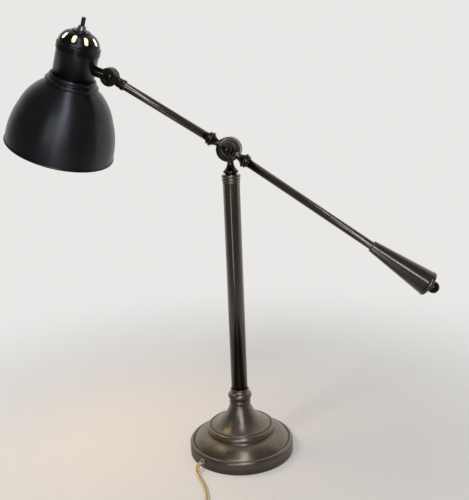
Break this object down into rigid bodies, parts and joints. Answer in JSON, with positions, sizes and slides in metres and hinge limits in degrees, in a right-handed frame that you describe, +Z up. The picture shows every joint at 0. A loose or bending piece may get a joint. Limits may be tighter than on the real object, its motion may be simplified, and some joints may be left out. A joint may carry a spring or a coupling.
{
  "type": "counterweight balance desk lamp",
  "caption": "Balance-arm desk lamp: domed metal shade and cone counterweight on a tilting rod arm, over a column on a stepped round base.",
  "frame": {"origin": "middle of the base's underside, on the surface that the lamp stands on", "axes": "+Z up the column; -X towards the shade and +X towards the counterweight; -Y towards the hub's ball knob"},
  "size_m": [0.6984, 0.4128, 0.7253],
  "materials": {
    "brushed_nickel": "brushed, dark antique nickel",
    "rod_nickel": "brushed nickel",
    "shade_metal": "satin, gunmetal, spun",
    "weight_iron": "as cast, painted black",
    "zinc_steel": "zinc plated",
    "ball_nickel": "polished, dark",
    "pad_felt": "felt",
    "fibre_washer": "matte",
    "black_plastic": "glossy",
    "white_plastic": "glossy",
    "bulb_frosted": "frosted",
    "bulb_cap_metal": "bright",
    "cord_gold": "clear vinyl over gold wire",
    "bushing_grey": "clear grey",
    "inner_lead": "vinyl",
    "blade_brass": "bright"
  },
  "bodies": {
    "stand": {"base_shell": "brushed_nickel", "base_weight": "weight_iron", "base_pad": "pad_felt", "cord_bushing": "bushing_grey", "base_washer": "zinc_steel", "base_nut": "zinc_steel", "threaded_pipe": "zinc_steel", "foot_collar": "brushed_nickel", "column_tube": "rod_nickel", "top_collar": "brushed_nickel", "hub_neck": "brushed_nickel", "hub_friction_washer": "fibre_washer", "hub_bolt": "brushed_nickel", "column_lead": "inner_lead", "mains_cord": "cord_gold", "cord_coil": "cord_gold", "plug_body": "cord_gold", "plug_blades": "blade_brass"},
    "clamp_knob": {"hub_knob": "ball_nickel"},
    "arm": {"arm_hub": "brushed_nickel", "arm_rod_shade_side": "rod_nickel", "arm_rod_weight_side": "rod_nickel", "counterweight": "rod_nickel", "finial_ball": "ball_nickel", "arm_lead": "inner_lead"},
    "knuckle": {"knuckle_rod_eye": "brushed_nickel", "knuckle_washer": "fibre_washer", "knuckle_screw": "ball_nickel", "knuckle_nut": "zinc_steel"},
    "shade": {"knuckle_shade_eye": "brushed_nickel", "socket_housing": "shade_metal", "stub_nut": "zinc_steel", "vent_cap": "shade_metal", "cap_collar": "brushed_nickel", "shade_bell": "shade_metal", "lamp_socket": "white_plastic", "socket_strap": "zinc_steel", "bulb_base": "bulb_cap_metal", "bulb_glass": "bulb_frosted", "switch_body": "white_plastic", "switch_cone_nut": "zinc_steel"},
    "switch": {"switch_knob": "black_plastic"}
  },
  "joints": [
    {"name": "arm_tilt", "type": "hinge", "parent": "stand", "child": "arm", "pos_m": [0, -0.0153, 0.5173], "axis": [0, 1, 0], "range_deg": [-70, 15]},
    {"name": "clamp_knob_turn", "type": "hinge", "parent": "stand", "child": "clamp_knob", "pos_m": [0, -0.0153, 0.5173], "axis": [0, -1, 0], "range_deg": [0, 180]},
    {"name": "shade_swivel", "type": "hinge", "parent": "arm", "child": "knuckle", "pos_m": [-0.18324, -0.0153, 0.63539], "axis": [0.8406, 0, -0.5417], "range_deg": [-102.5, 77.5]},
    {"name": "shade_tilt", "type": "hinge", "parent": "knuckle", "child": "shade", "pos_m": [-0.18324, -0.0153, 0.63539], "axis": [-0.1172, -0.9763, -0.1819], "range_deg": [-80, 45]},
    {"name": "switch_turn", "type": "hinge", "parent": "shade", "child": "switch", "pos_m": [-0.23862, -0.01293, 0.65838], "axis": [0.3668, -0.2128, 0.9056], "continuous": true}
  ]
}
